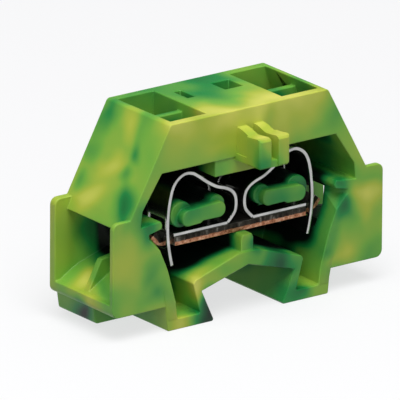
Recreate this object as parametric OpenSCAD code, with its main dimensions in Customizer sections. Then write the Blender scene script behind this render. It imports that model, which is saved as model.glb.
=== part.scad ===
// Four-conductor rail terminal block, spring clamp type, for the 15 mm top-hat rail.
// Millimetres. +X runs along the block, -Y is the open front, +Z is up.
// The origin is at the middle of the bounding box, on the underside of the feet.

/* [Housing] */
// Overall length over the end flanges
length = 44; // [42:0.5:48]
// Depth of the moulding, front plane to back plane
body_depth = 14; // [13.6:0.1:15]
// Height of the top deck above the underside of the feet
height = 28.3; // [27.8:0.1:30]
// Length of the top deck
top_length = 25.6; // [25:0.1:27]
// Thickness of the front web above the pocket
web_t = 1.3; // [1.1:0.1:1.5]
// Thickness of the wall closing the pocket at the back
back_t = 1.2; // [0.9:0.1:1.4]
// Thickness of the end flanges
flange_t = 0.8; // [0.7:0.1:1.2]
// Height of the top edge of the end flanges
flange_top = 16.4; // [15.8:0.1:17]
// Radius on the outer corners of the end flanges
flange_r = 1.0; // [0.4:0.1:1.6]

/* [Top openings] */
// Distance from the middle to the inner end of a screwdriver opening
slot_in = 6.15; // [5.8:0.05:6.5]
// Distance from the middle to the outer end of a screwdriver opening
slot_out = 12.3; // [12:0.05:12.5]
// Thickness of the divider between the two openings of one end
divider_t = 1.0; // [0.8:0.1:1.3]
// Depth of the divider below the deck
divider_drop = 1.2; // [0.6:0.1:2]
// Length of the small test hole
test_small = 1.2; // [1:0.1:1.6]
// Length of the large test hole
test_large = 2.95; // [2.4:0.05:3.2]
// Width of both test holes across the block
test_w = 3.2; // [2.6:0.1:3.6]

/* [Rail feet] */
// Thickness of the foot floor
foot_t = 1.5; // [1.2:0.1:1.8]
// Half the gap between the two hook tips
hook_gap = 5.5; // [5.35:0.05:5.7]
// Half the width of the rail seat at its widest
seat_half = 7.55; // [7.55:0.05:7.8]
// Height of the widest part of the rail seat
seat_z = 4.48; // [4.3:0.02:4.6]

/* [Current bar] */
// Thickness of the current bar
bar_t = 1.25; // [1:0.05:1.4]
// Height of the underside of the current bar
bar_z = 10.8; // [10.7:0.05:10.9]
// Half the length of the full-width part of the bar
bar_half = 10.7; // [10:0.1:10.8]
// Width of one bar tongue
tongue_w = 2.6; // [2.2:0.1:2.8]
// Distance from the middle to the bend of a tongue
tongue_bend = 12.75; // [12.7:0.05:12.9]
// Run of the bent tongue end outward
tongue_run = 1.15; // [0.8:0.05:1.3]
// Rise of the bent tongue end
tongue_rise = 1.35; // [1:0.05:1.6]

/* [Springs] */
// Thickness of the spring strip
strip_t = 0.45; // [0.35:0.05:0.5]
// Width of the spring strip
strip_w = 4.4; // [4:0.1:4.6]
// Distance from the front plane to the front edge of the first spring
strip_in = 1.9; // [1.8:0.05:2]
// Width of the window in the clamping leg
window_w = 3.4; // [3.2:0.1:3.5]
// Height of the lower edge of the window at rest
window_low = 10.48; // [10.3:0.02:10.5]
// Height of the upper edge of the window at rest
window_high = 14.6; // [14.4:0.1:15]

/* [Latch pegs] */
// Reach of the latch pegs in front of the body
peg_reach = 5.5; // [5:0.1:5.6]
// Width of one latch peg stem
peg_stem = 1.55; // [1.3:0.05:1.8]
// Overhang of the latch peg head beyond its stem
peg_lip = 0.35; // [0.2:0.05:0.5]
// Slot between the two latch pegs
peg_slot = 1.1; // [0.8:0.1:1.4]

/* [Hidden] */

moulding = "#5fa641";
moulding_light = "#b5be4e";
spring_steel = "#c3c5c4";
tinned_copper = "#8b8680";
round_steps = 24;

half = length / 2;
top_half = top_length / 2;
front = (peg_reach - body_depth) / 2;
// inner corners of the pocket, right half, from the deck down to the foot floor
deck_low = 21.9;
neck = [14.1, deck_low];
shoulder = [17.2, 17.3];
valley = [17.7, 14.9];
arm_root = [16.5, 13.6];
side_high = [14.3, 11.3];
side_mid = [13.1, 8.5];
side_low = [11.8, 4.0];
foot_z = 3.4;
side_foot = [11.72, foot_z];
floor_out = 11.5;
floor_in = 7.8;
foot_out_high = 13.45;
foot_out_low = 13.1;
// outer end of the sloped end wall
slope_end = [19.3, 16.2];
slope_low = [20.05, 14.7];
// rail roof
roof_ridge = 6.65;
roof_corner = [9.0, 5.75];
roof_edge = [8.6, 6.2];
roof_top = [1.5, 8.5];
// middle of each conductor row, measured from the front plane
row_front = strip_in + strip_w / 2;
row_rear = body_depth - row_front;
mid_row = body_depth / 2;
// funnel
lip_top = 5.2;
sill = [14.6, 8.9];
cheek_t = 1.1;
throat_t = 2.2;
throat_x = 14.4;
// test hole centres
test_small_x = -3.7;
test_large_x = 3.28;
test_y = 9.4;
tab_half = 5.4;
tab_low = 19.6;
tab_depth = 4.6;
shaft_wall = 1.15;
deck_t = 3.6;
boss_half = 1.0;
pad_out_high = 20.9;
pad_out_low = 20.5;
pad_low = 0.9;
pad_front = 5.8;
peg_head = 3.1;
peg_low = 21.5;
peg_high = 25.6;
peg_bridge = 1.0;
post_front = 1.0;
post_step = 2.2;
lobe_out = [9.35, 14.75];
lobe_out_r = 1.75;
lobe_in = [3.7, 15.0];
lobe_in_r = 1.35;
post_bar_r = 1.1;
post_bar_in = [4.15, 14.75];
post_bar_out = [8.95, 14.45];
contact_z = bar_z + bar_t + strip_t / 2 + 0.02;
contact_out = 10.8;
pivot_x = 2.4;
hinge_gap = 0.35;
curve_steps = 4;
// centre line of the clamping arm, right front spring, from the hinge to the end of the leg
arm_line = [[pivot_x - hinge_gap, contact_z + 0.12], [1.4, 12.95], [0.85, 13.7], [0.68, 14.75],
    [0.85, 15.8], [1.45, 16.6], [2.45, 17.15], [3.9, 17.65], [5.4, 18.55], [6.8, 19.6], [7.8, 20.2],
    [9.0, 20.35], [10.2, 19.75], [11.0, 18.6], [11.45, 16.9], [11.68, 15.2], [11.78, 13.3],
    [11.65, 11.2], [11.35, 9.4], [11.05, 8.15]];

function mirror_list(p) = [for (i = [0:len(p) - 1]) [-p[len(p) - 1 - i][0], p[len(p) - 1 - i][1]]];
function both(p) = concat(p, mirror_list(p));
function knot(a, b, c, d, t) = 0.5 * (2 * b + (c - a) * t + (2 * a - 5 * b + 4 * c - d) * t * t + (3 * b - a - 3 * c + d) * t * t * t);
function at(p, i) = p[max(0, min(len(p) - 1, i))];
function curve(p) = concat([for (i = [0:len(p) - 2]) for (s = [0:curve_steps - 1])
    knot(at(p, i - 1), p[i], p[i + 1], at(p, i + 2), s / curve_steps)], [p[len(p) - 1]]);
function unit(v) = v / norm(v);
function side(p, i) = let (d = unit(at(p, i + 1) - at(p, i - 1))) [-d[1], d[0]];
function strip(p, t) = concat([for (i = [0:len(p) - 1]) p[i] + side(p, i) * t / 2],
    [for (i = [len(p) - 1:-1:0]) p[i] - side(p, i) * t / 2]);

// a profile in X and Z carried from y0 to y1, both measured from the front plane
module slab(y0, y1) { translate([0, front + y1, 0]) rotate([90, 0, 0]) linear_extrude(y1 - y0) children(); }
module box(x0, x1, y0, y1, z0, z1) { translate([x0, front + y0, z0]) cube([x1 - x0, y1 - y0, z1 - z0]); }
module flip() { mirror([1, 0, 0]) children(); }

// wall that closes the pocket at the back, one face of the single moulding
module back_wall() { color(moulding) slab(body_depth - back_t, body_depth)
    polygon(both([[0, height], [slot_out, height], neck, shoulder, valley, arm_root, side_high, side_mid,
        side_low, side_foot, [floor_out, foot_t], [floor_in, foot_t], roof_corner, roof_edge, roof_top, [0, roof_top[1]]])); }

// solid deck between the two pairs of screwdriver openings, with two test holes
module top_deck() { color(moulding) difference() {
    union() {
        box(-slot_in, slot_in, web_t, body_depth - back_t, height - deck_t, height);
        for (m = [0, 1]) mirror([m, 0, 0])
            box(slot_in - shaft_wall, slot_in, web_t, body_depth - back_t, deck_low, height - deck_t);
    }
    box(test_small_x - test_small / 2, test_small_x + test_small / 2, test_y - test_w / 2, test_y + test_w / 2, height - deck_t - 1, height + 1);
    box(test_large_x - test_large / 2, test_large_x + test_large / 2, test_y - test_w / 2, test_y + test_w / 2, height - deck_t - 1, height + 1);
} }

// front wall above the pocket with the lower tab that holds the springs back
module front_web() { color(moulding_light) union() {
    slab(0, web_t) polygon(both([[0, height], [slot_out, height], neck, [tab_half, deck_low], [tab_half, tab_low], [0, tab_low]]));
    box(-tab_half + shaft_wall - 0.8, tab_half - shaft_wall + 0.8, web_t, tab_depth, tab_low, deck_low);
} }

module slope_wall() { slab(0, body_depth)
    polygon([[top_half, height], slope_end, slope_low, valley, shoulder, neck, [slot_out, height]]); }
// sloped end walls over the wire funnels
module slope_wall_right() { color(moulding_light) slope_wall(); }
module slope_wall_left() { color(moulding_light) flip() slope_wall(); }

module slot_divider() { slab(mid_row - divider_t / 2, mid_row + divider_t / 2)
    polygon([[slot_in, height - divider_drop], [slot_out + 0.33, height - divider_drop], neck, [slot_in, deck_low]]); }
// low walls between the front and the rear screwdriver opening
module slot_divider_right() { color(moulding_light) slot_divider(); }
module slot_divider_left() { color(moulding_light) flip() slot_divider(); }

module flange_outline() { polygon(concat(
    [for (i = [0:6]) [half - flange_r + flange_r * sin(90 - i * 15), foot_z + flange_r - flange_r * cos(90 - i * 15)]],
    [side_foot, side_low, side_mid, side_high, arm_root, valley, slope_low, slope_end, [slope_end[0] - 0.05, flange_top]],
    [for (i = [0:6]) [half - flange_r + flange_r * sin(i * 15), flange_top - flange_r + flange_r * cos(i * 15)]])); }
// inner thickening of the flange where the funnel narrows
module cheek() { polygon([sill, side_mid, side_high, arm_root, valley, [18.6, 14.85], [18.2, 7.1]]); }
// deepest part of that thickening, right at the throat
module throat() { polygon([[sill[0] - 0.1, sill[1]], [throat_x, 10.5], [throat_x, 14.2], [16.15, 13.8], [16.8, 13.9], [16.2, 8.1]]); }
// thin end flanges in the front plane and in the back plane
module flange_front_right() { color(moulding) union() { slab(0, flange_t) flange_outline(); slab(flange_t, flange_t + cheek_t) cheek(); slab(flange_t + cheek_t, flange_t + throat_t) throat(); } }
module flange_front_left() { color(moulding) flip() union() { slab(0, flange_t) flange_outline(); slab(flange_t, flange_t + cheek_t) cheek(); slab(flange_t + cheek_t, flange_t + throat_t) throat(); } }
module flange_back_right() { color(moulding) union() { slab(body_depth - back_t, body_depth) flange_outline(); slab(body_depth - back_t - throat_t / 2, body_depth - back_t) throat(); } }
module flange_back_left() { color(moulding) flip() union() { slab(body_depth - back_t, body_depth) flange_outline(); slab(body_depth - back_t - throat_t / 2, body_depth - back_t) throat(); } }

module funnel_floor() { slab(flange_t, body_depth - back_t)
    polygon([[half, foot_z], [half, lip_top], [21.2, lip_top], [18.2, 7.1], sill, side_mid, side_low, side_foot]); }
// floors of the wire funnels, rising from the lip to the sill
module funnel_floor_right() { color(moulding) funnel_floor(); }
module funnel_floor_left() { color(moulding) flip() funnel_floor(); }

module funnel_rib() { slab(mid_row - divider_t / 2, mid_row + divider_t / 2)
    polygon([[21.2, lip_top], [19.1, 9.3], [15.2, 9.9], sill, [18.2, 7.1]]); }
// ribs that part the front funnel from the rear funnel
module funnel_rib_right() { color(moulding) funnel_rib(); }
module funnel_rib_left() { color(moulding) flip() funnel_rib(); }

module guide_arm() { union() {
    slab(0, flange_t + cheek_t) polygon([valley, [14.3, 15.4], [14.0, 14.8], [14.15, 14.3], [16.15, 13.8], arm_root]);
    slab(flange_t + cheek_t, body_depth - back_t) polygon([slope_low, valley, [14.3, 15.4], [14.0, 14.8], [14.15, 14.3], [16.15, 13.8]]); } }
// fingers that lead the bare wire under the current bar
module guide_arm_right() { color(moulding) guide_arm(); }
module guide_arm_left() { color(moulding) flip() guide_arm(); }

module foot() { slab(0, body_depth)
    polygon([[foot_out_high, foot_z], side_foot, [floor_out, foot_t], [floor_in, foot_t], roof_corner, [seat_half, seat_z],
        [hook_gap + 0.12, 0.75], [hook_gap, 0.45], [hook_gap + 0.1, 0.15], [hook_gap + 0.35, 0], [foot_out_low - 0.15, 0], [foot_out_low, 0.2]]); }
// hollow feet with the hook that takes the rail lip
module foot_right() { color(moulding) foot(); }
module foot_left() { color(moulding) flip() foot(); }

module rear_pad() { slab(pad_front, body_depth)
    polygon([[foot_out_high, foot_z], [pad_out_high, foot_z], [pad_out_low, pad_low + 0.2], [pad_out_low - 0.2, pad_low], [13.2, pad_low]]); }
// pads under the rear half of the funnel floors
module rear_pad_right() { color(moulding) rear_pad(); }
module rear_pad_left() { color(moulding) flip() rear_pad(); }

// gabled roof over the rail, joining the two feet
module rail_roof() { color(moulding) slab(0, body_depth)
    polygon(both([[0, roof_top[1]], roof_top, roof_edge, roof_corner, [seat_half, seat_z], [0, roof_ridge]])); }

// boss on the roof that carries the middle of the current bar
module bar_boss() { color(moulding) slab(0.3, body_depth - back_t)
    polygon(both([[0, bar_z], [boss_half - 0.3, bar_z], [boss_half, bar_z - 0.6], [boss_half, roof_top[1]], [0, roof_top[1]]])); }

module spring_post() { union() {
    slab(post_front, post_step) hull() {
        translate(post_bar_in) circle(r = post_bar_r, $fn = round_steps);
        translate(post_bar_out) circle(r = post_bar_r, $fn = round_steps); }
    slab(post_step, body_depth - back_t) union() {
        translate(lobe_in) circle(r = lobe_in_r, $fn = round_steps);
        translate(lobe_out) circle(r = lobe_out_r, $fn = round_steps);
        polygon([lobe_in + [0, 0.95], lobe_out + [0, 1.0], lobe_out - [0, 1.2], lobe_in - [0, 1.1]]); }
} }
// posts from the back wall that the springs are hung on
module spring_post_right() { color(moulding) spring_post(); }
module spring_post_left() { color(moulding) flip() spring_post(); }

// pair of latch pegs that snap into the next block
module latch_pegs() { color(moulding_light) union() {
    for (m = [0, 1]) mirror([m, 0, 0]) {
        box(peg_slot / 2, peg_slot / 2 + peg_stem, peg_head - peg_reach, 0, peg_low + peg_bridge, peg_high);
        translate([0, 0, peg_low + peg_bridge]) linear_extrude(peg_high - peg_low - peg_bridge)
            polygon([[peg_slot / 2, front + peg_head - peg_reach], [peg_slot / 2, front + 0.3 - peg_reach], [peg_slot / 2 + 0.3, front - peg_reach],
                [peg_slot / 2 + peg_stem + peg_lip, front - peg_reach], [peg_slot / 2 + peg_stem + peg_lip, front + peg_head - peg_reach]]);
    }
    box(-peg_slot / 2 - peg_stem - peg_lip, peg_slot / 2 + peg_stem + peg_lip, -peg_reach, peg_head - peg_reach, peg_low, peg_low + peg_bridge);
    box(-peg_slot / 2 - peg_stem, peg_slot / 2 + peg_stem, peg_head - peg_reach, 0, peg_low, peg_low + peg_bridge);
} }

// stamped copper bar joining all four conductors
module current_bar() { color(tinned_copper) union() {
    box(-bar_half, bar_half, strip_in - 0.1, body_depth - strip_in + 0.1, bar_z, bar_z + bar_t);
    for (m = [0, 1]) mirror([m, 0, 0]) for (r = [row_front, row_rear])
        slab(r - tongue_w / 2, r + tongue_w / 2)
            polygon([[bar_half, bar_z], [tongue_bend, bar_z], [tongue_bend + tongue_run, bar_z + tongue_rise],
                [tongue_bend + tongue_run - 0.98, bar_z + tongue_rise + 0.8], [tongue_bend - 0.5, bar_z + bar_t], [bar_half, bar_z + bar_t]]);
} }

module contact_leg(r) { slab(r - strip_w / 2, r + strip_w / 2)
    polygon([[pivot_x, contact_z - strip_t / 2], [contact_out, contact_z - strip_t / 2], [contact_out, contact_z + strip_t / 2], [pivot_x, contact_z + strip_t / 2]]); }
// straight leg of each spring, resting on the current bar
module contact_leg_front_right() { color(spring_steel) contact_leg(row_front); }
module contact_leg_front_left() { color(spring_steel) flip() contact_leg(row_front); }
module contact_leg_rear_right() { color(spring_steel) contact_leg(row_rear); }
module contact_leg_rear_left() { color(spring_steel) flip() contact_leg(row_rear); }

module clamp_arm(r) { difference() {
    slab(r - strip_w / 2, r + strip_w / 2) polygon(strip(curve(arm_line), strip_t));
    box(half / 2, half, r - window_w / 2, r + window_w / 2, window_low, window_high); } }
// bent arm of each spring with the windowed clamping leg, turns about the rear bend
module clamp_arm_front_right() { color(spring_steel) clamp_arm(row_front); }
module clamp_arm_front_left() { color(spring_steel) flip() clamp_arm(row_front); }
module clamp_arm_rear_right() { color(spring_steel) clamp_arm(row_rear); }
module clamp_arm_rear_left() { color(spring_steel) flip() clamp_arm(row_rear); }

back_wall();
top_deck();
front_web();
slope_wall_left();
slope_wall_right();
slot_divider_left();
slot_divider_right();
flange_front_left();
flange_front_right();
flange_back_left();
flange_back_right();
funnel_floor_left();
funnel_floor_right();
funnel_rib_left();
funnel_rib_right();
guide_arm_left();
guide_arm_right();
foot_left();
foot_right();
rear_pad_left();
rear_pad_right();
rail_roof();
bar_boss();
spring_post_left();
spring_post_right();
latch_pegs();
current_bar();
contact_leg_front_left();
contact_leg_front_right();
contact_leg_rear_left();
contact_leg_rear_right();
clamp_arm_front_left();
clamp_arm_front_right();
clamp_arm_rear_left();
clamp_arm_rear_right();
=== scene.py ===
import math
import bmesh
import bpy
from mathutils import Matrix, Vector


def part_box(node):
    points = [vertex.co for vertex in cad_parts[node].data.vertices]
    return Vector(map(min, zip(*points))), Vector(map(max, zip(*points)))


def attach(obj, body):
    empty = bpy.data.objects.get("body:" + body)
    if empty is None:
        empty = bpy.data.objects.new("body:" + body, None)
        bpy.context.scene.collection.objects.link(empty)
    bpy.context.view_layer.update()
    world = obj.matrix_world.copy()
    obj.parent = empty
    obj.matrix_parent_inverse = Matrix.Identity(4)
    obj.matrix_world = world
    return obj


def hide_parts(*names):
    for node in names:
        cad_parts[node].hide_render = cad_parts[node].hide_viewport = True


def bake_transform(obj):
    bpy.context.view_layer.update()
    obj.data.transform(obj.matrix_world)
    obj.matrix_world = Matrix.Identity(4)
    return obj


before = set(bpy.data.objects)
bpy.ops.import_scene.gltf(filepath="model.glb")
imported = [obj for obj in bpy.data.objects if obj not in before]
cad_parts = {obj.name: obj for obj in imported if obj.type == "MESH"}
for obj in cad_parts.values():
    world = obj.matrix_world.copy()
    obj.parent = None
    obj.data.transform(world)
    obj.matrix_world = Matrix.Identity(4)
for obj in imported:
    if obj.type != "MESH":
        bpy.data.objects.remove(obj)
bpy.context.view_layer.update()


# ---------------------------------------------------------------- housing
# One injection moulding in polyamide 66. Two melts, green and yellow, meet in the tool and leave soft marbled
# swirls. Every wall, post and peg is drawn in or cut out of this one body, the tool leaves its outer edges
# slightly rounded, and its two hooked feet grip the rail.

MM = 1000                                       # mm in a metre: pieces are drawn in mm and finished in metres
SAME = 0.02                                     # corners nearer than this are one corner
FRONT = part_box("front_web")[0][1] * MM          # plane of the open side in the row frame
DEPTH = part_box("back_wall")[1][1] * MM - FRONT  # from the open side to the back face
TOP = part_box("top_deck")[1][2] * MM             # upper face of the deck
ACROSS, BACKWARD, UPWARD = Vector((1, 0, 0)), Vector((0, 1, 0)), Vector((0, 0, 1))

BACK_WALL = 1.2
INSIDE = DEPTH - BACK_WALL                      # where the pocket, the funnels and the tool openings end
ROOTED = DEPTH - 1.0                            # posts and boss begin inside the back wall
MIDDLE = DEPTH / 2                              # plane between the front and the rear row of wires
DIVIDER = 1.0                                   # thickness of the walls in that plane
MOULDED_EDGE = 0.17                             # radius left on outer edges


def both_halves(right):
    """An outline from its right half, which runs from the middle at the top to the middle below."""
    return right + [(-x, z) for x, z in reversed(right) if x > 0]


def drawn_through(outline, near, far):
    """A wall with this outline in X and Z, drawn through from one depth behind the front plane to another."""
    bm = bmesh.new()
    rim = [bm.verts.new((x, FRONT + near, z)) for x, z in outline]
    drawn = bmesh.ops.extrude_face_region(bm, geom=[bm.faces.new(rim)])
    moved = [v for v in drawn["geom"] if isinstance(v, bmesh.types.BMVert)]
    bmesh.ops.translate(bm, verts=moved, vec=(0, far - near, 0))
    bmesh.ops.recalc_face_normals(bm, faces=bm.faces)
    return bm


def round_corners(bm, corners, radius, steps):
    """Round the edges that run through the block at these X, Z corners, on both sides of the middle."""
    def runs_through(e):
        a, b = (v.co for v in e.verts)
        if abs(a.x - b.x) > SAME or abs(a.z - b.z) > SAME:
            return False
        return any(abs(abs(a.x) - x) < SAME and abs(a.z - z) < SAME for x, z in corners)
    bmesh.ops.bevel(bm, geom=[e for e in bm.edges if runs_through(e)], offset=radius, segments=steps,
                    profile=0.5, affect="EDGES", material=-1)
    return bm


def cut_loops(bm, direction, distances):
    """Cut edge loops round a shape at these distances along a direction."""
    for distance in distances:
        bmesh.ops.bisect_plane(bm, geom=bm.verts[:] + bm.edges[:] + bm.faces[:],
                               plane_co=distance * direction, plane_no=direction)


def mirrored(bm):
    """The same shape on the left-hand side."""
    twin = bm.copy()
    bmesh.ops.scale(twin, vec=(-1, 1, 1), verts=twin.verts)
    bmesh.ops.recalc_face_normals(twin, faces=twin.faces)
    return twin


def as_object(bm, name):
    mesh = bpy.data.meshes.new(name)
    bm.to_mesh(mesh)
    bm.free()
    made = bpy.data.objects.new(name, mesh)
    bpy.context.scene.collection.objects.link(made)
    return made


def settle(made):
    """Apply the modifiers, so that the mesh itself has the finished shape."""
    bpy.context.view_layer.update()
    solid = bpy.data.meshes.new_from_object(made.evaluated_get(bpy.context.evaluated_depsgraph_get()))
    made.modifiers.clear()
    old, made.data = made.data, solid
    bpy.data.meshes.remove(old)
    solid.name = made.name


def work(body, tool, how):
    """Cut a tool out of the body (DIFFERENCE) or fuse it on (UNION)."""
    bmesh.ops.triangulate(tool, faces=tool.faces)
    tool = as_object(tool, "tool")
    step = body.modifiers.new("step", "BOOLEAN")
    step.operation, step.solver, step.object = how, "EXACT", tool
    settle(body)
    mesh = tool.data
    bpy.data.objects.remove(tool)
    bpy.data.meshes.remove(mesh)


def work_both(body, tool, how):
    """The same work on the left and on the right."""
    work(body, mirrored(tool), how)
    work(body, tool, how)


# Outer form: deck, sloped ends, end flanges and the two hooked feet, one outline drawn through the depth.
deck_end, slope_foot = (12.8, TOP), (19.25, 16.4)
flange_top, flange_low = (22, 16.4), (22, 3.4)
shoulder, heel, hook_tip, hook_root, seat_ridge = (13.45, 3.4), (13.1, 0), (5.5, 0), (7.55, 4.48), (0, 6.65)
form = drawn_through(both_halves([(0, TOP), deck_end, slope_foot, flange_top, flange_low,
                                  shoulder, heel, hook_tip, hook_root, seat_ridge]), 0, DEPTH)
round_corners(form, [flange_top, flange_low], 1.0, 6)
round_corners(form, [deck_end], 0.35, 3)
round_corners(form, [hook_tip], 0.45, 4)
round_corners(form, [heel], 0.2, 2)
housing = as_object(form, "housing_marbled_polyamide")

# Pads under the rear half of each funnel floor.
PAD_FRONT = 5.8
pad_toe = (20.5, 0.9)
pad = drawn_through([(13.0, 3.7), (20.92, 3.7), pad_toe, (13.0, 0.9)], PAD_FRONT, DEPTH)
round_corners(pad, [pad_toe], 0.4, 3)
work_both(housing, pad, "UNION")

# The pocket for springs and bar, open to the front and closed by the back wall. It leaves a guide arm standing
# on each side, with a notch below it. Behind the notch the side wall slants in, and only the throat leads
# through it.
NOTCH_DEPTH = 2.8
notch_over, notch_under = (16.15, 13.85), (16.25, 13.3)
slanted_in = {notch_over: (14.6, 14.2), notch_under: (14.5, 13.0)}
foot_hollow = [(11.5, 1.5), (7.8, 1.5)]
pocket = drawn_through(both_halves([(0, 21.9), (14.1, 21.9), (17.2, 17.3), (17.5, 15.05), (14.3, 15.4),
                                    (14.0, 14.8), (14.15, 14.3), notch_over, notch_under, (14.3, 11.3),
                                    (13.1, 8.5), (11.8, 4.0), *foot_hollow, (9.0, 5.75), (8.6, 6.2),
                                    (1.5, 8.5), (0, 8.5)]), -2, INSIDE)
round_corners(pocket, foot_hollow, 0.25, 2)
cut_loops(pocket, BACKWARD, (FRONT, FRONT + NOTCH_DEPTH))
for v in pocket.verts:
    if v.co.y > FRONT + NOTCH_DEPTH - SAME:
        for (x, z), (to_x, to_z) in slanted_in.items():
            if abs(abs(v.co.x) - x) < SAME and abs(v.co.z - z) < SAME:
                v.co.x, v.co.z = math.copysign(to_x, v.co.x), to_z
work(housing, pocket, "DIFFERENCE")

# Wire funnels: wide at the flanges, with front and back walls that sweep in to the throat beside the pocket.
CLEAR_OF_FLANGE = 24
FLANGE = 0.8                                    # thickness of the front flange
MOUTH_END, THROAT = 18.4, 15.2                  # the sweep begins and ends at these distances off the middle
LIP_LEVEL, LIP_SLANT = 11, 0.3                  # below this level the sweep begins further out
FRONT_SWEEP, BACK_SWEEP = 2.4, -1.1
funnel = drawn_through([(CLEAR_OF_FLANGE, 5.2), (21.2, 5.2), (18.2, 7.1), (14.6, 8.9), (12.4, 8.05),
                        (12.4, 13.75), (16.15, 13.8), (20.05, 14.7), (19.3, 16.2), slope_foot,
                        (slope_foot[0], 17.6), (CLEAR_OF_FLANGE, 17.6)], FLANGE, INSIDE)
cut_loops(funnel, ACROSS, (21.4, 20.4, 19.4, 18.4, 17.4, 16.4, 15.5))
cut_loops(funnel, UPWARD, (7.8, 9.6, 11.0, 12.4))
for v in funnel.verts:
    begins = MOUTH_END + LIP_SLANT * max(0, LIP_LEVEL - v.co.z)
    along = min(1, max(0, (begins - v.co.x) / (begins - THROAT)))
    sweep = along * along * (3 - 2 * along)
    v.co.y += FRONT_SWEEP * sweep if v.co.y < FRONT + MIDDLE else BACK_SWEEP * sweep
work_both(housing, funnel, "DIFFERENCE")

# Tool openings in the deck, the hollow under the deck and the two test holes, a small and a large one.
DECK_FRONT = 1.3                                # web left standing in front of the openings
slot_inner, slot_floor = 6.15, 20.9
tool_slot = drawn_through([(slot_inner, TOP + 1.5), (11.53, TOP + 1.5), (14.05, 21.6), (14.05, slot_floor),
                           (slot_inner, slot_floor)], DECK_FRONT, INSIDE)
work_both(housing, tool_slot, "DIFFERENCE")
hollow = drawn_through([(-5, 24.7), (5, 24.7), (5, 21.0), (-5, 21.0)], DECK_FRONT, INSIDE)
work(housing, hollow, "DIFFERENCE")
for middle, long in ((-3.7, 1.2), (3.28, 2.95)):
    left, right = middle - long / 2, middle + long / 2
    test_hole = drawn_through([(left, TOP + 1), (right, TOP + 1), (right, 24), (left, 24)], 7.8, 11.0)
    work(housing, test_hole, "DIFFERENCE")

# Dividers between the front and rear openings, and ribs between the funnels.
divider_outline = [(5.9, TOP - 1.2), (12.8, TOP - 1.2), (14.4, 22.0), (5.9, 22.0)]
rib_outline = [(21.2, 5.2), (19.1, 9.3), (15.2, 9.9), (14.3, 8.6), (18.2, 6.6), (21.0, 4.8)]
for outline in (divider_outline, rib_outline):
    work_both(housing, drawn_through(outline, MIDDLE - DIVIDER / 2, MIDDLE + DIVIDER / 2), "UNION")

# Tab that holds the springs down and back, and the boss that carries the bar.
tab = drawn_through([(-5.4, 22.3), (5.4, 22.3), (5.4, 19.6), (-5.4, 19.6)], 0.25, 4.6)
work(housing, tab, "UNION")
boss = drawn_through([(-0.7, 10.78), (0.7, 10.78), (1.0, 10.2), (1.0, 8.0), (-1.0, 8.0), (-1.0, 10.2)],
                     0.3, ROOTED)
work(housing, boss, "UNION")


def turned(x, z, radius, near, far):
    """A round post through the depth."""
    bm = bmesh.new()
    bmesh.ops.create_cone(bm, cap_ends=True, segments=44, radius1=radius, radius2=radius, depth=far - near)
    bmesh.ops.rotate(bm, verts=bm.verts, cent=(0, 0, 0), matrix=Matrix.Rotation(math.pi / 2, 3, "X"))
    bmesh.ops.translate(bm, verts=bm.verts, vec=(x, FRONT + (near + far) / 2, z))
    return bm


# Spring posts: two lobes joined by a web stand off the back wall, with a slimmer rounded bar in front.
LOBE_FRONT, WEB_FRONT, POST_FRONT, POST_BACK = 2.2, 2.6, 1.0, 3.2
work_both(housing, turned(3.7, 15.0, 1.35, LOBE_FRONT, ROOTED), "UNION")
work_both(housing, turned(9.35, 14.75, 1.75, LOBE_FRONT, ROOTED), "UNION")
web = drawn_through([(3.7, 15.55), (9.35, 15.35), (9.35, 13.8), (3.7, 14.15)], WEB_FRONT, ROOTED)
work_both(housing, web, "UNION")
inner_end, outer_end = [(3.05, 15.86), (3.05, 13.66)], [(10.05, 15.53), (10.05, 13.32)]
post_bar = drawn_through([inner_end[0], *outer_end, (7.1, 13.42), (6.6, 13.72), inner_end[1]],
                         POST_FRONT, POST_BACK)
round_corners(post_bar, inner_end, 1.0, 9)
round_corners(post_bar, outer_end, 1.05, 9)
work_both(housing, post_bar, "UNION")


def merge_flats(made, within):
    """Merge doubled points, and neighbouring faces that are flat within this many degrees."""
    bm = bmesh.new()
    bm.from_mesh(made.data)
    bmesh.ops.remove_doubles(bm, verts=bm.verts, dist=0.002)
    bmesh.ops.dissolve_limit(bm, angle_limit=math.radians(within), verts=bm.verts, edges=bm.edges)
    bmesh.ops.recalc_face_normals(bm, faces=bm.faces)
    bm.to_mesh(made.data)
    bm.free()


def round_edges(made, radius, steps, sharper_than, clamped):
    """Round the edges that turn by more than this many degrees. Clamped, they stop where two would meet."""
    edge = made.modifiers.new("rounded edges", "BEVEL")
    edge.width, edge.segments, edge.use_clamp_overlap = radius, steps, clamped
    edge.limit_method, edge.angle_limit = "ANGLE", math.radians(sharper_than)
    settle(made)


merge_flats(housing, 1.2)
round_edges(housing, MOULDED_EDGE, 3, 30, False)


def drawn_across(side_view, inner, outer):
    """A shape with this side view in depth and height, drawn sideways between two distances off the middle."""
    bm = drawn_through([(FRONT + y, z) for y, z in side_view], inner - FRONT, outer - FRONT)
    swap_x_and_y = Matrix(((0, 1, 0, 0), (1, 0, 0, 0), (0, 0, 1, 0), (0, 0, 0, 1)))
    bmesh.ops.transform(bm, matrix=swap_x_and_y, verts=bm.verts)
    bmesh.ops.recalc_face_normals(bm, faces=bm.faces)
    return bm


def join(body, part):
    """Add a closed, already rounded part to the body. Its foot stands inside the wall that carries it."""
    bm = bmesh.new()
    bm.from_mesh(body.data)
    bm.from_mesh(part.data)
    bm.to_mesh(body.data)
    bm.free()
    bpy.data.objects.remove(part)


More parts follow.
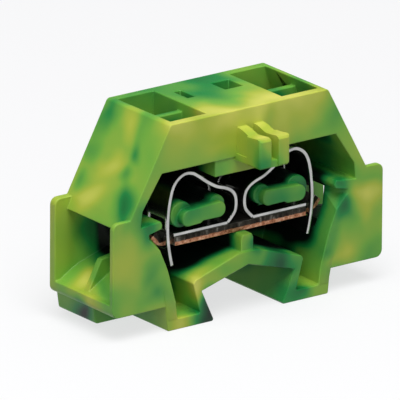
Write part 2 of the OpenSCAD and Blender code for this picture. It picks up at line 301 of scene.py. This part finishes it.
# Latch pegs: a split pair on a common sole. From above, each head is a little wider than its stem. From the
# side, its upper face dips behind the head like a swan's neck.
PEG_FOOT, PEG_HEAD = 21.75, 26.0
plan = [(0.6, 0.6), (0.6, -5.5), (2.1, -5.5), (2.35, -5.4), (2.45, -5.15), (2.45, -2.7), (2.1, -2.4),
        (2.1, 0.6)]
neck = [(0.6, PEG_HEAD), (-0.5, 25.95), (-1.2, 25.82), (-1.9, 25.6), (-2.5, 25.42), (-3.0, 25.4), (-4.9, 25.6),
        (-5.25, 25.5), (-5.5, 25.2)]
peg = bmesh.new()
rim = [peg.verts.new((x, FRONT + y, PEG_FOOT)) for x, y in plan]
drawn = bmesh.ops.extrude_face_region(peg, geom=[peg.faces.new(rim)])
raised = [v for v in drawn["geom"] if isinstance(v, bmesh.types.BMVert)]
bmesh.ops.translate(peg, verts=raised, vec=(0, 0, PEG_HEAD - PEG_FOOT))
cut_loops(peg, BACKWARD, [FRONT + y for y, z in neck[1:-1]])
for v in peg.verts:
    if v.co.z > PEG_HEAD - 1:
        here = v.co.y - FRONT
        for (near, high), (far, low) in zip(neck, neck[1:]):
            if near + 0.001 >= here >= far - 0.001:
                v.co.z = high + (low - high) * (near - here) / (near - far)
                break
bmesh.ops.recalc_face_normals(peg, faces=peg.faces)
pegs = as_object(mirrored(peg), "pegs")
work(pegs, peg, "UNION")
sole = drawn_across([(0.6, 22.4), (-5.25, 22.4), (-5.25, 21.5), (0.6, 21.5)], -2.25, 2.25)
work(pegs, sole, "UNION")
round_edges(pegs, MOULDED_EDGE, 3, 30, True)
join(housing, pegs)

# Faint raised outline of a core pin pad on each foot.
pad_crown = [(13.9, 5.8), (12.8, 6.05)]
pin_pad = drawn_through([*pad_crown, (12.05, 4.0), (11.7, 1.6), (13.05, 1.55), (13.62, 4.37)], -0.05, 0.4)
round_corners(pin_pad, pad_crown, 0.3, 4)
for foot_pad in (mirrored(pin_pad), pin_pad):
    join(housing, as_object(foot_pad, "pin pad"))


def to_metres(made):
    bm = bmesh.new()
    bm.from_mesh(made.data)
    bmesh.ops.scale(bm, vec=(1 / MM, 1 / MM, 1 / MM), verts=bm.verts)
    bm.to_mesh(made.data)
    bm.free()


def shade_evenly(made, weight=50):
    """Smooth shading that keeps the flat faces flat between their rounded edges."""
    made.data.polygons.foreach_set("use_smooth", [True] * len(made.data.polygons))
    made.modifiers.new("even shading", "WEIGHTED_NORMAL").weight = weight
    settle(made)


to_metres(housing)
shade_evenly(housing, 80)


def linear(code):
    """An sRGB hex value as linear red, green, blue, alpha."""
    def channel(v):
        return v / 12.92 if v <= 0.04045 else ((v + 0.055) / 1.055) ** 2.4
    return tuple(channel(int(code[i:i + 2], 16) / 255) for i in (1, 3, 5)) + (1.0,)


def new_material(name):
    material = bpy.data.materials.new(name)
    material.use_nodes = True
    material.node_tree.nodes.clear()
    return material, material.node_tree


def add(tree, kind, settings=None, values=None, links=None, stops=None):
    """One node with its settings, its socket values, its incoming links and, on a ramp, its colour stops."""
    made = tree.nodes.new(kind)
    for name, value in (settings or {}).items():
        setattr(made, name, value)
    for name, value in (values or {}).items():
        made.inputs[name].default_value = value
    for name, socket in (links or {}).items():
        tree.links.new(socket, made.inputs[name])
    if stops:
        points = made.color_ramp.elements
        while len(points) < len(stops):
            points.new(1.0)
        for point, (position, code) in zip(points, stops):
            point.position, point.color = position, linear(code)
    return made


def per_metre(size):
    """The scale of a pattern whose features are this many mm across."""
    return MM / size


# Marbled polyamide 66, as moulded: satin and slightly translucent. The eye sees swirls of 4 to 12 mm where the
# yellow melt folds into the green one, and clear yellow along the deck and the pegs. The recesses and the
# pocket get painted shade in deep green, and the left funnel's floor a little painted light.
FOLDS, SWIRLS, GRAIN = 9.09, 11.76, 0.1923
FOLD_REACH = 8                                  # how far a fold carries the melt along
marbled, tree = new_material("marbled green and yellow polyamide 66, as moulded")
place = add(tree, "ShaderNodeTexCoord")
fold = add(tree, "ShaderNodeTexNoise", values={"Scale": per_metre(FOLDS), "Detail": 2, "Roughness": 0.4},
           links={"Vector": place.outputs["Object"]})
centred = add(tree, "ShaderNodeVectorMath", {"operation": "SUBTRACT"}, {1: (0.5, 0.5, 0.5)},
              {0: fold.outputs["Color"]})
folded = add(tree, "ShaderNodeVectorMath", {"operation": "MULTIPLY_ADD"}, {1: (FOLD_REACH / MM,) * 3},
             {0: centred.outputs["Vector"], 2: place.outputs["Object"]})
drag = add(tree, "ShaderNodeMapping",
           values={"Location": (0.0131, 0.0047, 0.0212), "Rotation": (0.3, 0.45, 0.15),
                   "Scale": (1.0, 0.9, 0.55)},
           links={"Vector": folded.outputs["Vector"]})
melt = add(tree, "ShaderNodeTexNoise",
           values={"Scale": per_metre(SWIRLS), "Detail": 2, "Roughness": 0.4, "Distortion": 0.2},
           links={"Vector": drag.outputs["Vector"]})
share = add(tree, "ShaderNodeMapRange",
            values={"From Min": 0.25, "From Max": 0.75, "To Min": 0.25, "To Max": 0.75},
            links={"Value": melt.outputs["Fac"]}).outputs["Result"]

# Soft spots, in mm: across, behind the front plane, height and reach. The last number is how much more yellow
# it is there, or more green where it is below zero. Most mark where one melt wells up into the other. The
# groups marked below as painted shade and painted light stand in for shade and light.
melt_wells_and_painted_light = [
    # front half of the deck, then its rear half
    (-9, 0, 28.3, 5, 0.3), (-4, 2, 28.3, 4.5, 0.35), (0, 0.3, 28.3, 4.5, 0.45), (5, 1, 28.3, 4.5, 0.22),
    (10, 0.5, 28.3, 5, 0.24), (-2, 8, 28.3, 5.5, -0.08), (-7, 12.8, 28.3, 7, -0.14),
    (4, 13.4, 28.3, 6, -0.15), (-12.5, 13, 28, 4.5, -0.25),
    # front web
    (-9.5, 0, 25, 6, 0.16), (-3, 0, 24.5, 6, 0.12), (6, 0, 25, 5.5, 0.12), (12.5, 0, 23, 5, 0.1),
    (-12, 0, 24.6, 1.8, -0.2), (8, 0, 22.6, 2.6, -0.08),
    # left slope
    (-13.4, 7, 27.4, 3.4, 0.3), (-14.2, 12.3, 26, 3, -0.2), (-16, 12, 22.5, 3, -0.15),
    (-17.6, 11.6, 19, 2.4, -0.2), (-16, 8.6, 22, 3.4, 0.22), (-15, 4, 24, 2.4, -0.2),
    (-16.6, 4.8, 21, 2.6, -0.2), (-18.6, 9.5, 17.5, 3.4, 0.22), (-18.2, 3, 17.0, 4, -0.34),
    # left flange and the frame beside it
    (-15.6, 0, 14.8, 3.4, -0.32), (-19.6, 0, 11, 6.5, 0.22), (-19.5, 0, 5, 3.4, 0.1), (-15.4, 0, 9, 3, -0.15),
    (-14.2, 0, 5.4, 2.6, -0.2),
    # right flange and the frame beside it
    (17, 0, 17, 2.6, -0.2), (18.8, 0, 12.2, 3.6, 0.35), (15.5, 0, 14.2, 2.6, -0.15), (15.2, 0, 10.5, 2.4, -0.2),
    (20.6, 0, 10, 5, 0.25), (16.8, 0, 5.6, 4.2, 0.36),
    # feet and rail roof
    (-9.4, 0, 4.4, 2.6, 0.3), (-6.9, 0, 1.2, 4.2, -0.6), (-5, 0, 7.2, 3, -0.1), (-12, 0, 0.6, 3, 0.25),
    (0, 0, 9.6, 2.4, -0.3), (5, 0, 7.0, 4, -0.2), (8, 0, 5.2, 3, -0.1), (9.5, 0, 0.7, 3.4, -0.25),
    # painted shade inside the feet, over the rail roof, in the funnels and in the tool openings
    (-9.8, 8.5, 3.2, 5, -0.7), (9.8, 8.5, 3.2, 5, -0.7),
    (-8, 3.5, 7.6, 3.5, -0.25), (8, 3.5, 7.6, 3.5, -0.25), (0, 3.5, 8.5, 4, -0.25),
    (-15.5, 8.5, 10.5, 5.5, -0.45), (16, 8.5, 11, 5.5, -0.45),
    (-9.5, 8.5, 24.4, 5, -0.6), (9, 9, 24.4, 5, -0.6),
    # painted shade on the pads under the funnels, and painted light on the left funnel's lip and floor
    (-20, 9, 1.6, 4.6, -0.45), (-15, 10, 1, 4, -0.35), (17, 9.5, 0.9, 5, -0.55),
    (-22, 5, 4.4, 4, 0.5), (-20, 9, 5.4, 4, 0.35),
    # painted shade on the spring posts and the tab in the pocket, then the pegs, yellow on top and greener low
    # in front
    (-5, 3, 14.7, 5.5, -0.5), (-9, 1.5, 14.5, 4, -0.3), (5, 4, 14.7, 5, -0.25), (9.5, 4, 14.7, 4, -0.2),
    (-4, 1, 20.3, 4, -0.25), (-1.4, -3.6, 26.3, 2.8, 0.45), (1.6, -4, 26, 3.2, 0.35),
    (-1.8, -5.5, 23.4, 3, -0.2),
    # back flange of the left funnel, and painted shade on the pocket's right side wall
    (-22, 9, 8, 5, 0.2), (14.5, 1.5, 6.5, 2.6, -0.2),
]
for x, y, z, reach, yellow in melt_wells_and_painted_light:
    off = add(tree, "ShaderNodeVectorMath", {"operation": "DISTANCE"}, {1: (x / MM, (FRONT + y) / MM, z / MM)},
              {0: folded.outputs["Vector"]})
    melt_well_and_painted_light = add(tree, "ShaderNodeMapRange", {"interpolation_type": "SMOOTHSTEP"},
               {"From Min": 0, "From Max": reach / MM, "To Min": yellow, "To Max": 0},
               {"Value": off.outputs["Value"]})
    share = add(tree, "ShaderNodeMath", {"operation": "ADD"},
                links={0: share, 1: melt_well_and_painted_light.outputs["Result"]}).outputs["Value"]

# Painted shade: the pocket is painted darkest green behind the front edge, above the feet, under the deck and
# between the sloped end walls, and never on the outer skin.
PAINTED_POCKET_SHADE = 0.75
LEAN = 1.863                                    # about the rise of the sloped ends over their run
spot = add(tree, "ShaderNodeSeparateXYZ", links={"Vector": place.outputs["Object"]})
backward, upward = spot.outputs["Y"], spot.outputs["Z"]
sideways = add(tree, "ShaderNodeMath", {"operation": "ABSOLUTE"}, links={0: spot.outputs["X"]}).outputs["Value"]
leaning = add(tree, "ShaderNodeMath", {"operation": "MULTIPLY_ADD"}, {1: LEAN},
              {0: sideways, 2: upward}).outputs["Value"]
pocket_shade_mask = None
for along, near, far, low, high in ((backward, FRONT + 1.2, FRONT + 5.5, 0, 1),
                                    (backward, FRONT + 12.9, FRONT + 13.5, 1, 0),
                                    (upward, 4.6, 7.2, 0, 1), (upward, 22.1, 23.0, 1, 0),
                                    (sideways, 14.2, 16.4, 1, 0), (leaning, 49.6, 51.2, 1, 0)):
    part = add(tree, "ShaderNodeMapRange", {"interpolation_type": "SMOOTHSTEP"},
               {"From Min": near / MM, "From Max": far / MM, "To Min": low, "To Max": high},
               {"Value": along}).outputs["Result"]
    if pocket_shade_mask:
        part = add(tree, "ShaderNodeMath", {"operation": "MULTIPLY"}, links={0: pocket_shade_mask, 1: part}).outputs["Value"]
    pocket_shade_mask = part
# painted shade: the pocket mask takes the yellow share down here
share = add(tree, "ShaderNodeMath", {"operation": "MULTIPLY_ADD"}, {1: -PAINTED_POCKET_SHADE},
            {0: pocket_shade_mask, 2: share}).outputs["Value"]
# The lowest, near-black stops are reached mostly where painted shade is laid on.
colour = add(tree, "ShaderNodeValToRGB", links={"Fac": share},
             stops=[(0.0, "#020F08"), (0.13, "#04522B"), (0.3, "#1E8B40"),
                    (0.5, "#74B240"), (0.7, "#B0C142"), (0.95, "#E0DE6A")])

# The tool's spark eroded grain is nearer 0.05 mm. It is drawn coarser, so that it shows.
grain = add(tree, "ShaderNodeTexNoise", values={"Scale": per_metre(GRAIN), "Detail": 2, "Roughness": 0.6},
            links={"Vector": place.outputs["Object"]})
gloss = add(tree, "ShaderNodeMapRange",
            values={"From Min": 0.3, "From Max": 0.7, "To Min": 0.36, "To Max": 0.5},
            links={"Value": grain.outputs["Fac"]})
texture = add(tree, "ShaderNodeBump", values={"Strength": 0.12, "Distance": 0.04 / MM},
              links={"Height": grain.outputs["Fac"]})
surface = add(tree, "ShaderNodeBsdfPrincipled",
              values={"IOR": 1.53, "Specular IOR Level": 0.3, "Subsurface Weight": 0.1,
                      "Subsurface Radius": (0.8, 1.0, 0.3), "Subsurface Scale": 0.8 / MM},
              links={"Base Color": colour.outputs["Color"], "Roughness": gloss.outputs["Result"],
                     "Normal": texture.outputs["Normal"]})
add(tree, "ShaderNodeOutputMaterial", links={"Surface": surface.outputs["BSDF"]})
housing.data.materials.clear()
housing.data.materials.append(marbled)

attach(housing, "block")
metal = ("current_bar", "contact_leg", "clamp_arm")
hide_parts(*[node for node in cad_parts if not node.startswith(metal)])


# ---------------------------------------------------------------- current bar
# One stamped strip of copper, tin plated before stamping, so its faces are grey and its sheared edges show a
# dark band of dragged tin above torn bare copper. Its tongues are bent up after stamping and pass through the
# spring windows.

UNDER_LEG = 0.02                                # gap between the bar and the spring legs that lie on it
BAR_MARGIN = 1.8                                # from the front plane to the bar, and from the bar to the back
TONGUE_HALF = 1.3
ROWS = {"front": 4.1, "rear": DEPTH - 4.1}      # middle of each row of wires, behind the front plane
bar_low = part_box("current_bar")[0][2] * MM
bar_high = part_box("contact_leg_front_left")[0][2] * MM - UNDER_LEG
bar = as_object(drawn_through(both_halves([(0, bar_high), (10.7, bar_high), (10.7, bar_low), (0, bar_low)]),
                              BAR_MARGIN, DEPTH - BAR_MARGIN), "current_bar_tinned_copper")
bend_under = (12.75, bar_low)
for row in ROWS.values():
    tongue = drawn_through([(10.2, bar_low), bend_under, (13.9, bar_low + 1.35), (12.92, bar_low + 2.15),
                            (12.25, bar_high), (10.2, bar_high)], row - TONGUE_HALF, row + TONGUE_HALF)
    round_corners(tongue, [bend_under], 0.9, 4)
    work_both(bar, tongue, "UNION")
merge_flats(bar, 1)
to_metres(bar)
round_edges(bar, 0.08 / MM, 2, 28, False)
shade_evenly(bar)

# Hot tinned copper: soft grey metal with long streaks from rolling.
STREAK_LONG, STREAK_WIDE = 11.11, 0.3846
tinned, tree = new_material("hot tinned copper strip, rolled")
place = add(tree, "ShaderNodeTexCoord")
rolled = add(tree, "ShaderNodeMapping",
             values={"Scale": (per_metre(STREAK_LONG), per_metre(STREAK_WIDE), per_metre(STREAK_WIDE))},
             links={"Vector": place.outputs["Object"]})
streak = add(tree, "ShaderNodeTexNoise", values={"Scale": 1, "Detail": 3},
             links={"Vector": rolled.outputs["Vector"]})
colour = add(tree, "ShaderNodeValToRGB", links={"Fac": streak.outputs["Fac"]},
             stops=[(0.25, "#77726C"), (0.6, "#B1ADA6")])
gloss = add(tree, "ShaderNodeMapRange", values={"To Min": 0.24, "To Max": 0.46},
            links={"Value": streak.outputs["Fac"]})
texture = add(tree, "ShaderNodeBump", values={"Strength": 0.25, "Distance": 0.03 / MM},
              links={"Height": streak.outputs["Fac"]})
surface = add(tree, "ShaderNodeBsdfPrincipled", values={"Metallic": 1.0},
              links={"Base Color": colour.outputs["Color"], "Roughness": gloss.outputs["Result"],
                     "Normal": texture.outputs["Normal"]})
add(tree, "ShaderNodeOutputMaterial", links={"Surface": surface.outputs["BSDF"]})

# Sheared edge: the punch drags grey tin over the upper part and tears the lower part down to rough pink copper.
# The border follows the bar's lower face, and along the tongues the slope of their lower face.
TORN, DRAG_WIDE, DRAG_DEEP, DRAG_LONG = 0.5263, 0.5882, 3.333, 2.5
BORDER = 0.8                                    # height of the border above the lower face
RAGGED = 0.5                                    # how far the tear wanders up and down
SLOPE_X, SLOPE_Z = 0.7614, 0.6486               # direction square to the tongue's lower face
sheared, tree = new_material("sheared copper edge, tin dragged over the top")
place = add(tree, "ShaderNodeTexCoord")
spot = add(tree, "ShaderNodeSeparateXYZ", links={"Vector": place.outputs["Object"]})
torn = add(tree, "ShaderNodeTexNoise", values={"Scale": per_metre(TORN), "Detail": 4, "Roughness": 0.7},
           links={"Vector": place.outputs["Object"]})
above_flat = add(tree, "ShaderNodeMath", {"operation": "SUBTRACT"}, {1: bar_low / MM}, {0: spot.outputs["Z"]})
sideways = add(tree, "ShaderNodeMath", {"operation": "ABSOLUTE"}, links={0: spot.outputs["X"]})
lean = add(tree, "ShaderNodeMath", {"operation": "MULTIPLY_ADD"},
           {1: -SLOPE_X, 2: SLOPE_X * bend_under[0] / MM}, {0: sideways.outputs["Value"]})
above_tongue = add(tree, "ShaderNodeMath", {"operation": "MULTIPLY_ADD"}, {1: SLOPE_Z},
                   {0: above_flat.outputs["Value"], 2: lean.outputs["Value"]})
height = add(tree, "ShaderNodeMath", {"operation": "MINIMUM"},
             links={0: above_flat.outputs["Value"], 1: above_tongue.outputs["Value"]})
wander = add(tree, "ShaderNodeMath", {"operation": "MULTIPLY_ADD"}, {1: RAGGED / MM},
             {0: torn.outputs["Fac"], 2: height.outputs["Value"]})
band = add(tree, "ShaderNodeMapRange",
           values={"From Min": (BORDER - 0.04) / MM, "From Max": (BORDER + 0.04) / MM},
           links={"Value": wander.outputs["Value"]})
dragged = add(tree, "ShaderNodeMapping",
              values={"Scale": (per_metre(DRAG_WIDE), per_metre(DRAG_DEEP), per_metre(DRAG_LONG))},
              links={"Vector": place.outputs["Object"]})
smear = add(tree, "ShaderNodeTexNoise", values={"Scale": 1, "Detail": 4, "Roughness": 0.7},
            links={"Vector": dragged.outputs["Vector"]})
pink = add(tree, "ShaderNodeValToRGB", links={"Fac": torn.outputs["Fac"]},
           stops=[(0.3, "#5E3421"), (0.5, "#B07A5C"), (0.72, "#E2B89C")])
grey = add(tree, "ShaderNodeValToRGB", links={"Fac": smear.outputs["Fac"]},
           stops=[(0.35, "#171411"), (0.55, "#34312B"), (0.8, "#8E8A82")])
FACTOR, COLOUR_A, COLOUR_B, MIXED_COLOUR = 0, 6, 7, 2   # a mix node's sockets for colour
edge_colour = add(tree, "ShaderNodeMix", {"data_type": "RGBA"},
                  links={FACTOR: band.outputs["Result"], COLOUR_A: pink.outputs["Color"],
                         COLOUR_B: grey.outputs["Color"]})
gloss = add(tree, "ShaderNodeMapRange", values={"To Min": 0.55, "To Max": 0.3},
            links={"Value": band.outputs["Result"]})
texture = add(tree, "ShaderNodeBump", values={"Strength": 0.6, "Distance": 0.05 / MM},
              links={"Height": torn.outputs["Fac"]})
surface = add(tree, "ShaderNodeBsdfPrincipled", values={"Metallic": 1.0},
              links={"Base Color": edge_colour.outputs[MIXED_COLOUR], "Roughness": gloss.outputs["Result"],
                     "Normal": texture.outputs["Normal"]})
add(tree, "ShaderNodeOutputMaterial", links={"Surface": surface.outputs["BSDF"]})
bar.data.materials.clear()
bar.data.materials.append(tinned)
bar.data.materials.append(sheared)
for face in bar.data.polygons:
    long_edge = abs(face.normal.y) > 0.6
    tongue_end = abs(face.center.x) > 13.1 / MM and abs(face.normal.x) > 0.5 and face.normal.z > 0.3
    if long_edge or tongue_end:
        face.material_index = 1

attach(bar, "block")
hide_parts("current_bar")


# ---------------------------------------------------------------- springs
# Four tension clamp springs, each blanked from bright chrome nickel spring strip and bent. The straight leg
# lies on the bar, the strip turns back over the post, and the clamping leg carries the window that pulls the
# wire against the bar.

STRIP = 0.45                                    # thickness
STRIP_HALF, WINDOW_HALF = 2.2, 1.7              # half widths
WINDOW = (10.48, 14.6)                          # lower and upper end of the window
LEG_START, LEG_END = 2.05, 10.8
leg_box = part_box("contact_leg_front_right")
LEG_LEVEL = (leg_box[0][2] + leg_box[1][2]) / 2 * MM
bend_line = [(LEG_START, LEG_LEVEL + 0.03), (1.4, 12.95), (0.85, 13.7), (0.68, 14.75), (0.85, 15.8),
             (1.45, 16.6), (2.45, 17.15), (3.9, 17.65), (5.4, 18.55), (6.8, 19.6), (7.8, 20.2), (9.0, 20.35),
             (10.2, 19.75), (11.0, 18.6), (11.45, 16.9), (11.68, 15.2), (11.78, 13.3), (11.65, 11.2),
             (11.35, 9.4), (11.05, 8.15)]


def eased(line, steps):
    """The bend line with smooth bends between its points."""
    smooth = []
    for i in range(len(line) - 1):
        a, b, c, d = (Vector(line[max(0, min(len(line) - 1, k))]) for k in (i - 1, i, i + 1, i + 2))
        for s in range(steps):
            t = s / steps
            smooth.append(0.5 * (2 * b + (c - a) * t + (2 * a - 5 * b + 4 * c - d) * t * t
                                 + (3 * b - a - 3 * c + d) * t ** 3))
    return smooth + [Vector(line[-1])]


def bent_strip(line, row, side, window=None):
    """Spring strip bent along a line in X and Z, with two rails either side of its window."""
    bm = bmesh.new()
    lanes = (row - STRIP_HALF, row - WINDOW_HALF, row + WINDOW_HALF, row + STRIP_HALF)
    across = [bm.verts.new((line[0][0], FRONT + y, line[0][1])) for y in lanes]
    edges = [bm.edges.new(pair) for pair in zip(across, across[1:])]
    for here, there in zip(line, line[1:]):
        run = bmesh.ops.extrude_edge_only(bm, edges=edges)["geom"]
        edges = [e for e in run if isinstance(e, bmesh.types.BMEdge)]
        bmesh.ops.translate(bm, verts=[v for v in run if isinstance(v, bmesh.types.BMVert)],
                            vec=(there[0] - here[0], 0, there[1] - here[1]))
    if window:
        cut_loops(bm, UPWARD, window)
        middles = [(f, f.calc_center_median()) for f in bm.faces]
        opening = [f for f, middle in middles if middle.x > 10.5 and window[0] < middle.z < window[1]
                   and abs(middle.y - FRONT - row) < WINDOW_HALF / 2]
        bmesh.ops.delete(bm, geom=opening, context="FACES")
    bmesh.ops.scale(bm, vec=(side / MM, 1 / MM, 1 / MM), verts=bm.verts)
    bmesh.ops.recalc_face_normals(bm, faces=bm.faces)
    return bm


def as_spring(bm, name):
    """A strip with its thickness and its blanked edges."""
    made = as_object(bm, name)
    wall = made.modifiers.new("strip", "SOLIDIFY")
    wall.thickness, wall.offset, wall.use_even_offset = STRIP / MM, 0, True
    round_edges(made, 0.07 / MM, 2, 40, True)
    shade_evenly(made)
    return made


# Bright rolled spring strip: polished, with fine rolling lines along its length.
LINE_LONG, LINE_APART = 2.5, 0.1111
spring_steel, tree = new_material("bright rolled chrome nickel spring steel")
place = add(tree, "ShaderNodeTexCoord")
rolled = add(tree, "ShaderNodeMapping",
             values={"Scale": (per_metre(LINE_LONG), per_metre(LINE_APART), per_metre(LINE_LONG))},
             links={"Vector": place.outputs["Object"]})
lines = add(tree, "ShaderNodeTexNoise", values={"Scale": 1, "Detail": 3, "Roughness": 0.6},
            links={"Vector": rolled.outputs["Vector"]})
colour = add(tree, "ShaderNodeValToRGB", links={"Fac": lines.outputs["Fac"]},
             stops=[(0.25, "#989997"), (0.75, "#C8C8C6")])
gloss = add(tree, "ShaderNodeMapRange", values={"To Min": 0.14, "To Max": 0.3},
            links={"Value": lines.outputs["Fac"]})
texture = add(tree, "ShaderNodeBump", values={"Strength": 0.1, "Distance": 0.02 / MM},
              links={"Height": lines.outputs["Fac"]})
surface = add(tree, "ShaderNodeBsdfPrincipled", values={"Metallic": 1.0},
              links={"Base Color": colour.outputs["Color"], "Roughness": gloss.outputs["Result"],
                     "Normal": texture.outputs["Normal"]})
add(tree, "ShaderNodeOutputMaterial", links={"Surface": surface.outputs["BSDF"]})

# The leg stays on the bar. The arm bends smoothly over the first bend.
for row_name, row in ROWS.items():
    for side_name, side in (("left", -1), ("right", 1)):
        which = f"{row_name}_{side_name}"
        leg = as_spring(bent_strip([(LEG_START, LEG_LEVEL), (LEG_END, LEG_LEVEL)], row, side),
                        f"spring_contact_leg_{which}")
        leg.data.materials.append(spring_steel)
        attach(leg, "block")
        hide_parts(f"contact_leg_{which}")
        arm = as_spring(bent_strip(eased(bend_line, 5), row, side, WINDOW), f"spring_clamp_arm_{which}")
        arm.data.materials.append(spring_steel)
        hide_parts(f"clamp_arm_{which}")
        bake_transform(arm)


# ---------------------------------------------------------------- floor, light and camera
# A plain pale paper sweep under the block, an overhead soft box and a weaker one from the front left, and a
# long lens, so that the block's parallel edges stay parallel.

bm = bmesh.new()
bmesh.ops.create_grid(bm, x_segments=1, y_segments=1, size=3.0)
floor = as_object(bm, "floor")
paper, tree = new_material("matt white paper sweep")
surface = add(tree, "ShaderNodeBsdfPrincipled",
              values={"Base Color": linear("#8C8C8D"), "Roughness": 0.9, "Specular IOR Level": 0.1,
                      "Emission Color": linear("#F7F7F8"), "Emission Strength": 0.75})
add(tree, "ShaderNodeOutputMaterial", links={"Surface": surface.outputs["BSDF"]})
floor.data.materials.append(paper)
floor.visible_diffuse = False

world = bpy.data.worlds.new("studio")
world.use_nodes = True
sky = world.node_tree.nodes["Background"]
sky.inputs["Color"].default_value = linear("#FFFFFF")
sky.inputs["Strength"].default_value = 0.24
bpy.context.scene.world = world


def soft_box(name, stand, size, power, facing=(0, 0, 0.014)):
    """A square studio lamp facing the block."""
    lamp = bpy.data.lights.new(name, "AREA")
    lamp.shape, lamp.size, lamp.energy = "SQUARE", size, power
    made = bpy.data.objects.new(name, lamp)
    bpy.context.scene.collection.objects.link(made)
    made.location = stand
    made.rotation_euler = (Vector(facing) - Vector(stand)).to_track_quat("-Z", "Y").to_euler()


soft_box("overhead soft box", (-0.12, -0.2, 0.6), 0.5, 4.2)
soft_box("front left soft box", (-0.45, -0.45, 0.25), 0.3, 0.55)

# The lens looks from the front left, slightly above, and is turned and slid a little to frame the block.
swing, rise, roll = math.radians(36.79), math.radians(18.67), math.radians(0.38)
DISTANCE, SLIDE_RIGHT, SLIDE_UP = 1.6859, -0.00296, -0.00105
aim = Vector((0, 0.00579 + FRONT / MM, 0.01505))
back = Vector((-math.sin(swing) * math.cos(rise), -math.cos(swing) * math.cos(rise), math.sin(rise)))
level = Vector((math.cos(swing), -math.sin(swing), 0))
upright = back.cross(level)
across = math.cos(roll) * level + math.sin(roll) * upright
upward = -math.sin(roll) * level + math.cos(roll) * upright
eye = aim + SLIDE_RIGHT * across + SLIDE_UP * upward + DISTANCE * back
lens = bpy.data.cameras.new("long lens")
lens.lens, lens.sensor_width, lens.clip_end = 1161.4, 36, 20
camera = bpy.data.objects.new("camera", lens)
bpy.context.scene.collection.objects.link(camera)
camera.matrix_world = Matrix(((across.x, upward.x, back.x, eye.x), (across.y, upward.y, back.y, eye.y),
                              (across.z, upward.z, back.z, eye.z), (0, 0, 0, 1)))
bpy.context.scene.camera = camera
bpy.context.scene.view_settings.view_transform = "Standard"
